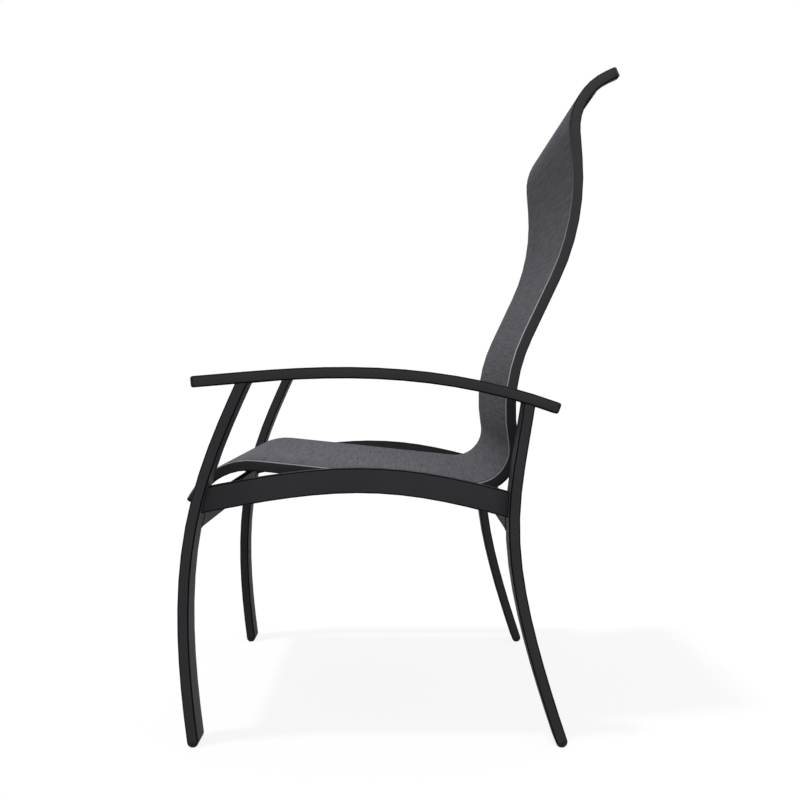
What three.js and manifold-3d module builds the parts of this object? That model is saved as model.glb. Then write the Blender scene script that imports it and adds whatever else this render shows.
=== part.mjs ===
// Sling patio chair with a high back, millimetres, +Z up.
// The chair faces -X, its own left side is -Y, and it stands on z = 0.
// Bent flat tubes make the two side frames, cross rails join them, and two
// grooved rails carry the woven sling between them.

import * as THREE from 'three';
import { mergeVertices } from 'three/addons/utils/BufferGeometryUtils.js';
import Module from 'manifold-3d';

const wasm = await Module();
wasm.setup();

// Overall sizes
const overallWidth = 675;      // across the outer faces of the side frames
const overallHeight = 1128.5;  // floor to the top of the rolled head
const seatHeight = 468.5;      // floor to the crown of the front roll of the seat
const armRise = 158.5;         // crown of the seat to the crown of the arms
const footSpread = 608;        // front foot to rear foot, centre to centre

// Flat tube of the legs and the arms
const tubeWide = 50.8;
const tubeThick = 19;
const tubeCorner = 3;

// Stock of the side rails, the cross rails and the spreaders
const sideRailTall = 42;
const sideRailThick = 19;
const crossRailTall = 44.5;
const crossRailThick = 12.7;
const headSpreaderWide = 43;
const headSpreaderThick = 17;
const spreaderWide = 38;
const spreaderThick = 12.7;
const stockCorner = 2.5;

// Sling rail: a solid extrusion with a keyhole groove beside its outer lip
const railWide = 18;
const railDepth = 18.5;
const railCorner = 2.2;
const slingSideGap = 7.8;      // side frame to sling rail
const lipWide = 4.8;
const slotWide = 2.2;
const boreRadius = 3.3;
const boreDepth = 6.6;         // fabric face to the centre of the bore
const splineRadius = 1.6;

// Woven sling
const fabricThick = 1;
const fabricInset = 3;         // sling rail's end to the fabric's edge

// Bends of the sling line, from the front edge to the head
const frontRollRadius = 115;
const crookRadius = 58;
const lumbarRadius = 301;
const shoulderRadius = 386;
const headRadius = 103;

// Fits
const seatGap = 0.3;           // between pieces that touch
const overrun = 6;             // cutters reach this far past what they cut

// Feet, end caps and spreader plugs
const footFlatDepth = 0.6;     // slice that makes the flat under each round foot
const capThick = 5;
const capRound = 4.5;
const capEdge = 0.5;           // smallest corner of a cap
const plugLength = 12;
const plugWall = 2.6;          // tube wall that the plug fits inside
const railWall = 1.8;
const pegRadius = 3;
const pegLength = 4;
const flangeThick = 2;

// Bolts that hold the sling rails to the side frames
const boltRadius = 2.5;
const boltClearance = 0.3;
const boltHeadRadius = 4.7;
const boltHeadTall = 3;
const boltGrip = 12;           // length held inside the side frame
const boltTipRoom = 1;
const boltDepth = 13.3;        // fabric face to the bolt's axis
const spacerRadius = 6.5;

// Facets
const cornerDivisions = 1;     // each gives two facets round a quarter turn
const cornerSegments = 2 * cornerDivisions;
const tubeSteps = 14;
const sweepTurn = 9;           // most degrees between two stations of a bend
const bendStep = 34;           // most length between two stations of a bend
const straightStep = 70;
const capSegments = 3;
const roundSegments = 16;
const footSegments = 24;
const boltTries = 40;          // places tried for a bolt on each stretch

// Centre lines of the bent tubes: along x, shares of the foot spread from the
// front foot to the back. Along z, the arm follows the arm height, the side
// rail and the legs' first three points the seat height, and the legs' tops
// the arm height.
const armLineShares = [[-0.0006, 0.96], [0.2507, 0.9788], [0.6021, 1.0284], [0.9913, 0.8892]];
const frontLegLineShares = [[0, 0], [-0.0662, 0.6724], [0.009, 0.9253], [0.1469, 0.978]];
const rearLegLineShares = [[1, 0], [0.8104, 0.7468], [0.8699, 0.8361], [0.9154, 0.9392]];
const sideRailLineShares = [[0.0166, 0.8645], [0.4035, 0.9678], [0.5604, 0.959], [0.8678, 0.8472]];

// Corners of the sling line: the first three are shares of the seat height,
// the others are shares of the rise from the seat to the top of the head.
const seatCornerShares = [[-0.0349, 0.8561], [0.037, 1.0177], [0.8827, 0.9022]];
const backCornerShares = [[0.8352, 0.1953], [1.0492, 0.6142], [1.0197, 0.9448], [1.1563, 1.0014]];

// Middles of the cross rails, as shares of the seat height
const frontCrossShare = 0.808;
const rearCrossShare = 0.797;

// Places along the sling line, as shares of the stretch that each sits on
const frontBoltShare = 0.3;
const seatSpreaderShare = 0.1;
const backSpreaderShare = 0.45;
const headSpreaderShare = 0.56;

const halfWidth = overallWidth / 2;
const framePlane = halfWidth - tubeWide / 2;
const railOuter = halfWidth - tubeWide - slingSideGap;
const railInner = railOuter - railWide;
const footRadius = tubeThick / 2;
const footCentre = footRadius - footFlatDepth;
const grooveCentre = lipWide + slotWide / 2;
const faceRecess = fabricThick + seatGap;
const armHeight = seatHeight + armRise;
const backRise = overallHeight - seatHeight;
const acrossAxis = new THREE.Vector3(0, 1, 0);

const powderCoat = { color: 0x2e2e30, roughness: 0.5, metalness: 0.35 };
const railCoat = { color: 0x333335, roughness: 0.48, metalness: 0.35 };
const wovenSling = { color: 0x55545a, roughness: 0.85, metalness: 0 };
const blackPlastic = { color: 0x1d1d1f, roughness: 0.6, metalness: 0 };
const darkSteel = { color: 0x3a3a3d, roughness: 0.4, metalness: 0.8 };
const splinePlastic = { color: 0x26262a, roughness: 0.55, metalness: 0 };

const chair = new THREE.Group();

/** Adds one named piece to a group and returns it. */
function addPiece(group, name, geometry, finish) {
  const mesh = new THREE.Mesh(geometry, new THREE.MeshStandardMaterial(finish));
  mesh.name = name;
  group.add(mesh);
  return mesh;
}

/** Turns a closed geometry into a solid that can be cut and joined. */
function toSolid(geometry) {
  const bare = geometry.clone();
  bare.deleteAttribute('normal');
  bare.deleteAttribute('uv');
  const merged = mergeVertices(bare);
  const vertProperties = Float32Array.from(merged.attributes.position.array);
  const triVerts = Uint32Array.from(merged.index.array);
  return new wasm.Manifold(new wasm.Mesh({ numProp: 3, vertProperties, triVerts }));
}

/** Turns a solid back into a geometry. */
function toGeometry(solid) {
  const mesh = solid.getMesh();
  const geometry = new THREE.BufferGeometry();
  geometry.setAttribute('position', new THREE.BufferAttribute(mesh.vertProperties, mesh.numProp));
  geometry.setIndex(new THREE.BufferAttribute(mesh.triVerts, 1));
  geometry.computeVertexNormals();
  return geometry;
}

/** Cuts a list of geometries out of one geometry. */
function cut(geometry, ...tools) {
  return toGeometry(tools.reduce((solid, tool) => solid.subtract(toSolid(tool)), toSolid(geometry)));
}

/** Joins overlapping geometries into one closed body. */
function join(...geometries) {
  return toGeometry(geometries.map(toSolid).reduce((whole, solid) => whole.add(solid)));
}

/** A box given by its lowest and highest corners. */
function boxBetween(low, high) {
  const size = new THREE.Vector3().subVectors(high, low);
  const centre = new THREE.Vector3().addVectors(low, high).multiplyScalar(1 / 2);
  return new THREE.BoxGeometry(size.x, size.y, size.z).translate(centre.x, centre.y, centre.z);
}

/** A rectangle with rounded corners, centred on the origin. */
function roundedRectangle(wide, tall, corner) {
  const radius = Math.min(corner, wide / 2, tall / 2);
  const x = wide / 2 - radius;
  const y = tall / 2 - radius;
  const shape = new THREE.Shape();
  shape.absarc(x, y, radius, 0, Math.PI / 2);
  shape.absarc(-x, y, radius, Math.PI / 2, Math.PI);
  shape.absarc(-x, -y, radius, Math.PI, 3 * Math.PI / 2);
  shape.absarc(x, -y, radius, 3 * Math.PI / 2, 2 * Math.PI);
  return shape;
}

/** A rectangle given by its edges. */
function plainRectangle(left, right, low, high) {
  const corners = [[left, low], [right, low], [right, high], [left, high]];
  return new THREE.Shape(corners.map(([x, y]) => new THREE.Vector2(x, y)));
}

/**
 * Sweeps a section along a path in the plane of the side frames. In the
 * section, x runs towards -Y of the chair and y to the right of the heading.
 */
function sweep(section, path, steps) {
  return new THREE.ExtrudeGeometry(section, { steps, curveSegments: cornerDivisions, extrudePath: path });
}

/** A curve that starts and ends one length short of another. */
class DrawnInLine extends THREE.Curve {
  constructor(line, length) {
    super();
    this.line = line;
    this.share = length / line.getLength();
  }

  getPoint(t, target = new THREE.Vector3()) {
    return this.line.getPointAt(THREE.MathUtils.lerp(this.share, 1 - this.share, t), target);
  }
}

/** A planar path through stations that each have a place and a heading. */
class StationPath extends THREE.Curve {
  constructor(stations) {
    super();
    this.stations = stations;
  }

  get steps() {
    return this.stations.length - 1;
  }

  /** The same path, drawn in by one length at its start and another at its end. */
  drawnIn(atStart, atEnd) {
    const stations = this.stations.map(({ point, heading }) => ({ point: point.clone(), heading }));
    stations[0].point.addScaledVector(stations[0].heading, atStart);
    stations.at(-1).point.addScaledVector(stations.at(-1).heading, -atEnd);
    return new StationPath(stations);
  }

  getUtoTmapping(u) {
    return u;
  }

  blend(t, key, target) {
    const place = t * this.steps;
    const index = Math.min(Math.floor(place), this.steps - 1);
    const [a, b] = [this.stations[index], this.stations[index + 1]];
    return target.lerpVectors(a[key], b[key], place - index);
  }

  getPoint(t, target = new THREE.Vector3()) {
    return this.blend(t, 'point', target);
  }

  getTangent(t, target = new THREE.Vector3()) {
    return this.blend(t, 'heading', target).normalize();
  }
}

/** The unit vector of a heading, from its angle over the floor. */
function headingAt(angle) {
  return new THREE.Vector3(Math.cos(angle), 0, Math.sin(angle));
}

/** The direction to the right of a heading, in the plane of the side frames. */
function rightOf(heading) {
  return new THREE.Vector3(heading.z, 0, -heading.x);
}

/** A station moved to the right of its heading, such as from fabric to bolt. */
function offsetPoint(station, distance) {
  return station.point.clone().addScaledVector(rightOf(station.heading), distance);
}

/** A cubic centre line from four pairs of shares and the height of each. */
function cubicLine(shares, heights) {
  const points = shares.map(([x, z], i) => new THREE.Vector3(x * footSpread, 0, z * heights[i]));
  return new THREE.CubicBezierCurve3(...points);
}

/** The centre line of a leg, which starts in the middle of its round foot. */
function legLine(shares) {
  const line = cubicLine(shares, [seatHeight, seatHeight, seatHeight, armHeight]);
  line.v0.z += footCentre;
  return line;
}

/**
 * A line through corners with a round bend in each, kept as straight and bent
 * stretches. A bend is made smaller where its neighbour leaves it no room.
 */
class BentLine {
  constructor(corners, radii) {
    this.stretches = [];
    const legs = corners.slice(1).map((corner, i) => new THREE.Vector3().subVectors(corner, corners[i]));
    const angles = legs.map((leg) => Math.atan2(leg.z, leg.x));
    const turns = angles.slice(1).map((angle, i) => angle - angles[i]);
    const wanted = radii.map((radius, i) => radius * Math.tan(Math.abs(turns[i]) / 2));
    const setbacks = wanted.map((setback, i) => {
      const before = setback * legs[i].length() / (setback + (wanted[i - 1] ?? 0));
      const after = setback * legs[i + 1].length() / (setback + (wanted[i + 1] ?? 0));
      return Math.min(setback, before, after);
    });
    let start = corners[0].clone();
    setbacks.forEach((setback, i) => {
      const bendStart = corners[i + 1].clone().addScaledVector(headingAt(angles[i]), -setback);
      this.addStraight(start, bendStart, angles[i]);
      const radius = setback / Math.tan(Math.abs(turns[i]) / 2);
      start = this.addBend(bendStart, angles[i], turns[i], radius);
    });
    this.addStraight(start, corners.at(-1), angles.at(-1));
  }

  addStraight(start, end, angle) {
    const length = start.distanceTo(end);
    const place = (share) => ({ point: start.clone().lerp(end, share), heading: headingAt(angle) });
    this.stretches.push({ length, count: Math.ceil(length / straightStep), place });
  }

  addBend(start, angle, turn, radius) {
    const centre = start.clone().addScaledVector(rightOf(headingAt(angle)), -radius * Math.sign(turn));
    const place = (share) => {
      const heading = headingAt(angle + turn * share);
      const point = centre.clone().addScaledVector(rightOf(heading), radius * Math.sign(turn));
      return { point, heading };
    };
    const length = Math.abs(turn) * radius;
    const count = Math.ceil(Math.max(Math.abs(turn) / THREE.MathUtils.degToRad(sweepTurn), length / bendStep));
    this.stretches.push({ length, count, place });
    return place(1).point;
  }

  /** The path of a sweep, with its stations close together in the bends. */
  path() {
    const stations = [this.stretches[0].place(0)];
    this.stretches.forEach(({ count, place }) => {
      for (let i = 1; i <= count; i += 1) stations.push(place(i / count));
    });
    return new StationPath(stations);
  }
}

const wholeArmLine = cubicLine(armLineShares, Array(4).fill(armHeight));
const armLine = new DrawnInLine(wholeArmLine, capThick + seatGap);
const frontLegLine = legLine(frontLegLineShares);
const rearLegLine = legLine(rearLegLineShares);
const sideRailLine = cubicLine(sideRailLineShares, Array(4).fill(seatHeight));

const slingCorners = [
  ...seatCornerShares.map(([x, z]) => new THREE.Vector3(x * footSpread, 0, z * seatHeight)),
  ...backCornerShares.map(([x, z]) => new THREE.Vector3(x * footSpread, 0, seatHeight + z * backRise)),
];
const bendRadii = [frontRollRadius, crookRadius, lumbarRadius, shoulderRadius, headRadius];
const slingLine = new BentLine(slingCorners, bendRadii);
const [, , seatStretch, crookBend, lumbarRise, lumbarBend] = slingLine.stretches;
const headBend = slingLine.stretches.at(-2);

const slingPath = slingLine.path().drawnIn(capThick + seatGap, capThick + seatGap);
const fabricPath = slingPath.drawnIn(fabricInset, fabricInset);

/** The matrix that puts a piece made along +X onto a centre and a direction. */
function frameAt(centre, outward) {
  const up = new THREE.Vector3().crossVectors(outward, acrossAxis);
  return new THREE.Matrix4().makeBasis(outward, acrossAxis, up).setPosition(centre);
}

/** One flat layer of a stacked body: a rounded rectangle at a place along +X. */
function layer(x, wide, tall, corner, shift = 0) {
  const section = roundedRectangle(wide, tall, Math.min(corner, wide / 4, tall / 4));
  const points = section.getPoints(cornerDivisions).slice(0, 4 * (cornerSegments + 1));
  return points.map((point) => new THREE.Vector3(x, point.x + shift, point.y));
}

/** A closed body through layers that have equal numbers of points. */
function stack(layers) {
  const ring = layers[0].length;
  const at = (i, j) => i * ring + j % ring;
  const last = layers.length - 1;
  const index = [];
  for (let j = 0; j < ring; j += 1) {
    for (let i = 0; i < last; i += 1) {
      index.push(at(i, j), at(i, j + 1), at(i + 1, j + 1), at(i, j), at(i + 1, j + 1), at(i + 1, j));
    }
  }
  for (let j = 1; j < ring - 1; j += 1) {
    index.push(at(0, 0), at(0, j + 1), at(0, j), at(last, 0), at(last, j), at(last, j + 1));
  }
  const geometry = new THREE.BufferGeometry().setFromPoints(layers.flat());
  geometry.setIndex(index);
  geometry.computeVertexNormals();
  return geometry;
}

/** A straight bar of rounded section along +X. */
function bar(from, to, wide, tall, shift = 0) {
  return stack([layer(from, wide, tall, stockCorner, shift), layer(to, wide, tall, stockCorner, shift)]);
}

/** The socket that a plug needs in the end of a tube, ready to be cut. */
function socket(wide, tall, frame, shift = 0) {
  return bar(-plugLength - seatGap, overrun, wide, tall, shift).applyMatrix4(frame);
}

/** A cap for a flat end: a plug, then a plate whose outer edge is rounded. */
function endCap(wide, tall, corner, plugWide, plugTall, plugShift = 0) {
  const plugLayer = (x) => layer(x, plugWide - 2 * seatGap, plugTall - 2 * seatGap, stockCorner, plugShift);
  const plateLayer = (x, inset) => layer(x, wide - 2 * inset, tall - 2 * inset, Math.max(corner - inset, capEdge));
  const rounded = arcPoints(0, 0, capRound, 0, Math.PI / 2, capSegments);
  return stack([
    plugLayer(-plugLength),
    plugLayer(seatGap),
    plateLayer(seatGap, 0),
    ...rounded.map(({ x, y }) => plateLayer(seatGap + capThick - capRound + y, capRound - x)),
  ]);
}

/** A bolt, spacer or peg profile turned about Y, from [radius, y] pairs. */
function turned(profile) {
  const points = profile.map(([radius, y]) => new THREE.Vector2(radius, y));
  return new THREE.LatheGeometry(points, roundSegments);
}

/** A plain round bar along Y between two places. */
function roundBar(radius, from, to) {
  return turned([[0, from], [radius, from], [radius, to], [0, to]]);
}

const plugWide = tubeWide - 2 * plugWall;
const plugTall = tubeThick - 2 * plugWall;
const railPlugWide = railWide - grooveCentre - boreRadius - 2 * railWall;
const railPlugTall = railDepth - 2 * railWall;
const railPlugShift = -(grooveCentre + boreRadius) / 2;
const tubeSection = roundedRectangle(tubeWide, tubeThick, tubeCorner);

/** What lies beyond one face of a tube, as a tool that copes the next tube. */
function beyondFace(line, nearEdge, farEdge) {
  const half = tubeWide / 2 + overrun;
  return sweep(plainRectangle(-half, half, nearEdge, farEdge), line, tubeSteps);
}

const faceDistance = tubeThick / 2 + seatGap;
const reach = 4 * tubeThick;
const aboveArm = beyondFace(armLine, -reach, faceDistance);
const aheadOfFrontLeg = beyondFace(frontLegLine, -reach, faceDistance);
const behindRearLeg = beyondFace(rearLegLine, -faceDistance, reach);

/** The place and outward direction of one end of a centre line. */
function endFrame(line, end) {
  const outward = line.getTangentAt(end).multiplyScalar(end === 0 ? -1 : 1);
  return frameAt(line.getPointAt(end), outward);
}

/** The flat arm, with a socket in each end for its cap. */
function armGeometry() {
  const sockets = [0, 1].map((end) => socket(plugWide, plugTall, endFrame(armLine, end)));
  return cut(sweep(tubeSection, armLine, tubeSteps), ...sockets);
}

/** A leg that is coped to the underside of the arm, with holes in its inner face. */
function legGeometry(line, side, bolts) {
  const foot = socket(plugWide, plugTall, endFrame(line, 0));
  const holes = bolts.map((bolt) => blindHole(bolt, side, tubeWide / 2));
  return cut(sweep(tubeSection, line, tubeSteps), aboveArm, foot, ...holes);
}

/** The arched rail between the legs, coped to both of them. */
function sideRailGeometry(side, bolts) {
  const section = roundedRectangle(sideRailThick, sideRailTall, tubeCorner);
  const holes = bolts.map((bolt) => blindHole(bolt, side, sideRailThick / 2));
  return cut(sweep(section, sideRailLine, tubeSteps), aheadOfFrontLeg, behindRearLeg, ...holes);
}

/** The blind hole of a bolt, in a piece centred on the plane of its side frame. */
function blindHole(bolt, side, innerFace) {
  const inner = -side * (innerFace + overrun);
  const bottom = -side * (innerFace - boltGrip - boltTipRoom);
  const hole = roundBar(boltRadius + boltClearance, Math.min(inner, bottom), Math.max(inner, bottom));
  return hole.translate(bolt.x, 0, bolt.z);
}

/** A round foot on the end of a leg, with a flat slice where it stands. */
function footGeometry(line) {
  const edge = footRadius - tubeCorner;
  const barrel = new THREE.LatheGeometry([
    new THREE.Vector2(0, -tubeWide / 2),
    ...arcPoints(edge, tubeCorner - tubeWide / 2, tubeCorner, -Math.PI / 2, 0),
    ...arcPoints(edge, tubeWide / 2 - tubeCorner, tubeCorner, 0, Math.PI / 2),
    new THREE.Vector2(0, tubeWide / 2),
  ], footSegments);
  const low = new THREE.Vector3(-tubeWide, -tubeWide, -tubeWide);
  const above = boxBetween(low, new THREE.Vector3(seatGap, tubeWide, tubeWide));
  const floor = boxBetween(low, new THREE.Vector3(tubeWide, tubeWide, -footCentre));
  const stem = bar(-plugLength, footRadius / 2, plugWide - 2 * seatGap, plugTall - 2 * seatGap);
  const foot = join(cut(barrel, above), stem);
  const outward = line.getTangentAt(0).multiplyScalar(-1);
  return cut(foot.applyMatrix4(frameAt(new THREE.Vector3(), outward)), floor);
}

/** Points of an arc, for profiles and sections. */
function arcPoints(x, y, radius, from, to, segments = cornerSegments) {
  const share = (i) => from + (to - from) * i / segments;
  const points = Array.from({ length: segments + 1 }, (_, i) => share(i));
  return points.map((angle) => new THREE.Vector2(x + radius * Math.cos(angle), y + radius * Math.sin(angle)));
}

/** The place on a leg's centre line at one height. */
function lineAtHeight(line, height) {
  let [low, high] = [0, 1];
  for (let i = 0; i < 40; i += 1) {
    const middle = (low + high) / 2;
    if (line.getPointAt(middle).z < height) low = middle;
    else high = middle;
  }
  return { point: line.getPointAt(low), heading: line.getTangentAt(low) };
}

/** A straight rail between the side frames, flush with one face of the legs. */
function addCrossRail(name, line, middle, flushSide) {
  const length = 2 * (halfWidth - tubeWide - seatGap);
  const section = roundedRectangle(crossRailThick, crossRailTall, stockCorner);
  const geometry = new THREE.ExtrudeGeometry(section, {
    depth: length,
    bevelEnabled: false,
    curveSegments: cornerDivisions,
  }).translate(0, 0, -length / 2).rotateX(Math.PI / 2);
  const { point, heading } = lineAtHeight(line, middle);
  const flush = flushSide * (tubeThick - crossRailThick) / 2;
  const mesh = addPiece(chair, name, geometry, powderCoat);
  mesh.position.copy(point).addScaledVector(rightOf(heading), flush);
  mesh.rotation.y = Math.PI / 2 - Math.atan2(heading.z, heading.x);
}

/** The section of a sling rail on one side of the chair. */
function slingRailSection(side) {
  const keyhole = boreAngles().map((angle) => borePoint(angle, boreRadius));
  const outline = [
    ...arcPoints(railCorner, railCorner, railCorner, Math.PI, 3 * Math.PI / 2),
    new THREE.Vector2(lipWide, 0),
    ...keyhole.reverse(),
    new THREE.Vector2(lipWide + slotWide, faceRecess),
    new THREE.Vector2(railWide - railCorner, faceRecess),
    new THREE.Vector2(railWide, faceRecess + railCorner),
    ...arcPoints(railWide - railCorner, railDepth - railCorner, railCorner, 0, Math.PI / 2, 1),
    ...arcPoints(railCorner, railDepth - railCorner, railCorner, Math.PI / 2, Math.PI, 1),
  ];
  return sideShape(side, outline);
}

/** A section on one side, from distances inboard of the rail's outer face. */
function sideShape(side, outline) {
  return new THREE.Shape(outline.map(({ x, y }) => new THREE.Vector2(-side * (railOuter - x), y)));
}

/** Angles of the corners of the round bore, from one slot edge to the other. */
function boreAngles() {
  const edge = Math.asin(slotWide / 2 / boreRadius);
  const sides = 8;
  const step = (2 * Math.PI - 2 * edge) / sides;
  return Array.from({ length: sides + 1 }, (_, i) => -Math.PI / 2 + edge + step * i);
}

/** A point round the bore, by its angle and radius. */
function borePoint(angle, radius) {
  return new THREE.Vector2(grooveCentre + radius * Math.cos(angle), boreDepth + radius * Math.sin(angle));
}

/** The hem on one side of the sling: down the slot and round the spline. */
function hemPoints() {
  const outer = boreRadius - seatGap;
  const inner = outer - fabricThick;
  const half = fabricThick / 2;
  const wrap = boreAngles().slice(0, 4);
  const onArc = (radius, x) => new THREE.Vector2(grooveCentre + x, boreDepth - Math.sqrt(radius ** 2 - x ** 2));
  return [
    new THREE.Vector2(grooveCentre - half, 0),
    onArc(inner, -half),
    ...wrap.map((angle) => borePoint(angle, inner)),
    ...wrap.slice(1).reverse().map((angle) => borePoint(angle, outer)),
    onArc(outer, half),
    new THREE.Vector2(grooveCentre + half, fabricThick),
  ];
}

/** The woven sheet with a hem in the groove of each sling rail. */
function fabricGeometry() {
  const hem = hemPoints();
  const left = hem.map(({ x, y }) => new THREE.Vector2(railOuter - x, y));
  const right = hem.map(({ x, y }) => new THREE.Vector2(x - railOuter, y));
  return sweep(new THREE.Shape([...left, ...right.reverse()]), fabricPath, fabricPath.steps);
}

/** The rod that keeps a hem in its groove. */
function splineGeometry(side) {
  const sides = 6;
  const outline = arcPoints(grooveCentre, boreDepth, splineRadius, 0, 2 * Math.PI, sides).slice(0, sides);
  return sweep(sideShape(side, outline), fabricPath, fabricPath.steps);
}

/** The centre of a sling rail's end and the direction out of it. */
function railEndFrame(end, side) {
  const station = slingPath.stations.at(end === 0 ? 0 : -1);
  const centre = offsetPoint(station, railDepth / 2);
  centre.y = side * (railOuter - railWide / 2);
  return frameAt(centre, station.heading.clone().multiplyScalar(end === 0 ? -1 : 1));
}

/** A sling rail with its groove, bolt holes, peg holes and end sockets. */
function slingRailGeometry(side, bolts, pegs) {
  const blank = sweep(slingRailSection(side), slingPath, slingPath.steps);
  const across = (from, to) => [Math.min(side * from, side * to), Math.max(side * from, side * to)];
  const holes = bolts.map(({ x, z }) => {
    const [low, high] = across(railInner - overrun, railOuter + overrun);
    return roundBar(boltRadius + boltClearance, low, high).translate(x, 0, z);
  });
  const seats = pegs.map(({ x, z }) => {
    const [low, high] = across(railInner - overrun, railInner + pegLength + seatGap);
    return roundBar(pegRadius + seatGap, low, high).translate(x, 0, z);
  });
  const sockets = [0, 1].map((end) => {
    return socket(railPlugWide, railPlugTall, railEndFrame(end, side), side * railPlugShift);
  });
  return cut(blank, ...holes, ...seats, ...sockets);
}

/** A bolt from the inner face of the sling rail into the side frame. */
function boltGeometry(side, frameFace) {
  const tip = frameFace + boltGrip;
  const seat = railInner - seatGap;
  const profile = [
    [0, seat - boltHeadTall],
    [boltHeadRadius / 2, seat - boltHeadTall],
    [boltHeadRadius, seat - boltHeadTall / 3],
    [boltHeadRadius, seat],
    [boltRadius, seat],
    [boltRadius, tip],
    [0, tip],
  ];
  const bolt = turned(profile);
  return side > 0 ? bolt : bolt.rotateX(Math.PI);
}

/** The tube that keeps a sling rail off the side frame. */
function spacerGeometry(side, frameFace) {
  const [from, to] = [railOuter + seatGap, frameFace - seatGap];
  const inside = boltRadius + boltClearance;
  const tube = turned([[inside, from], [spacerRadius, from], [spacerRadius, to], [inside, to], [inside, from]]);
  return side > 0 ? tube : tube.rotateX(Math.PI);
}

/** The straight bar of a spreader, with a socket in each end. */
function spreaderGeometry(wide, thick) {
  const half = railInner - flangeThick - 2 * seatGap;
  const room = [-1, 1].map((end) => {
    const depth = bar(half - plugLength, half + overrun, thick - 2 * plugWall, wide - 2 * plugWall);
    return depth.rotateZ(end * Math.PI / 2);
  });
  return cut(bar(-half, half, thick, wide).rotateZ(Math.PI / 2), ...room);
}

/** The plug in a spreader's end, with a peg for the sling rail's hole. */
function spreaderPlugGeometry(side, wide, thick) {
  const face = railInner - seatGap;
  const back = face - flangeThick;
  const inset = 2 * (plugWall + seatGap);
  const body = stack([
    layer(back - plugLength + seatGap, thick - inset, wide - inset, stockCorner),
    layer(back, thick - inset, wide - inset, stockCorner),
    layer(back, thick, wide, stockCorner),
    layer(face, thick, wide, stockCorner),
  ]);
  const [from, to] = [side * (face - flangeThick / 2), side * (railInner + pegLength)];
  const peg = roundBar(pegRadius, Math.min(from, to), Math.max(from, to));
  return join(body.rotateZ(side * Math.PI / 2), peg);
}

/** The place on the bolts' line, along some stretches, that a leg passes most centrally. */
function nearestOnLeg(stretches, line) {
  const shares = Array.from({ length: boltTries }, (_, i) => i / (boltTries - 1));
  const places = stretches.flatMap((stretch) => shares.map((share) => stretch.place(share)));
  const tries = places.map((place) => {
    const point = offsetPoint(place, boltDepth);
    return { point, miss: Math.abs(point.x - lineAtHeight(line, point.z).point.x) };
  });
  return tries.reduce((best, next) => (next.miss < best.miss ? next : best)).point;
}

/** The depth of a spreader's middle behind the fabric face, on a bend. */
function spreaderDepth(wide, thick, radius) {
  const inner = radius - fabricThick;
  const sagitta = inner - Math.sqrt(inner ** 2 - (wide / 2) ** 2);
  return fabricThick + 2 * seatGap + sagitta + thick / 2;
}

const seatPlace = seatStretch.place(seatSpreaderShare);
const backPlace = lumbarBend.place(backSpreaderShare);
const headPlace = headBend.place(headSpreaderShare);
const flushDepth = railDepth - spreaderThick / 2;
const spreaders = [
  { name: 'seat_spreader', place: seatPlace, depth: flushDepth, wide: spreaderWide, thick: spreaderThick },
  { name: 'back_spreader', place: backPlace, depth: flushDepth, wide: spreaderWide, thick: spreaderThick },
  {
    name: 'head_spreader',
    place: headPlace,
    depth: spreaderDepth(headSpreaderWide, headSpreaderThick, headRadius),
    wide: headSpreaderWide,
    thick: headSpreaderThick,
  },
];
spreaders.forEach((spreader) => {
  spreader.centre = offsetPoint(spreader.place, spreader.depth);
  spreader.angle = Math.PI / 2 - Math.atan2(spreader.place.heading.z, spreader.place.heading.x);
});

const frontBolt = offsetPoint(seatStretch.place(frontBoltShare), boltDepth);
const rearBolt = nearestOnLeg([crookBend, lumbarRise], rearLegLine);
const pegs = spreaders.map(({ centre }) => centre);

/** One side frame: arm, legs, side rail, feet and arm caps. */
function addSideFrame(name, side) {
  const frame = new THREE.Group();
  frame.position.y = side * framePlane;
  chair.add(frame);
  addPiece(frame, `${name}_arm`, armGeometry(), powderCoat);
  addPiece(frame, `${name}_front_leg`, legGeometry(frontLegLine, side, []), powderCoat);
  addPiece(frame, `${name}_rear_leg`, legGeometry(rearLegLine, side, [rearBolt]), powderCoat);
  addPiece(frame, `${name}_side_rail`, sideRailGeometry(side, [frontBolt]), powderCoat);
  [['front', 0], ['rear', 1]].forEach(([where, end]) => {
    const geometry = endCap(tubeWide, tubeThick, tubeCorner, plugWide, plugTall);
    addPiece(frame, `${name}_arm_${where}_cap`, geometry, blackPlastic).applyMatrix4(endFrame(armLine, end));
  });
  [['front', frontLegLine], ['rear', rearLegLine]].forEach(([where, line]) => {
    const foot = addPiece(frame, `${name}_${where}_foot`, footGeometry(line), blackPlastic);
    foot.position.copy(line.getPointAt(0));
  });
}

/** One sling rail with its spline, caps, bolts and spacers. */
function addSlingSide(name, side) {
  const bolts = [frontBolt, rearBolt];
  addPiece(chair, `${name}_sling_rail`, slingRailGeometry(side, bolts, pegs), railCoat);
  addPiece(chair, `${name}_sling_spline`, splineGeometry(side), splinePlastic);
  [['front', 0], ['head', 1]].forEach(([where, end]) => {
    const shift = side * railPlugShift;
    const geometry = endCap(railWide, railDepth, railCorner, railPlugWide, railPlugTall, shift);
    const cap = addPiece(chair, `${name}_rail_${where}_cap`, geometry, blackPlastic);
    cap.applyMatrix4(railEndFrame(end, side));
  });
  const faces = { front: framePlane - sideRailThick / 2, rear: framePlane - tubeWide / 2 };
  [['front', frontBolt], ['rear', rearBolt]].forEach(([where, place]) => {
    const bolt = addPiece(chair, `${name}_${where}_bolt`, boltGeometry(side, faces[where]), darkSteel);
    const spacer = addPiece(chair, `${name}_${where}_spacer`, spacerGeometry(side, faces[where]), blackPlastic);
    [bolt, spacer].forEach((piece) => piece.position.set(place.x, 0, place.z));
  });
}

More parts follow.
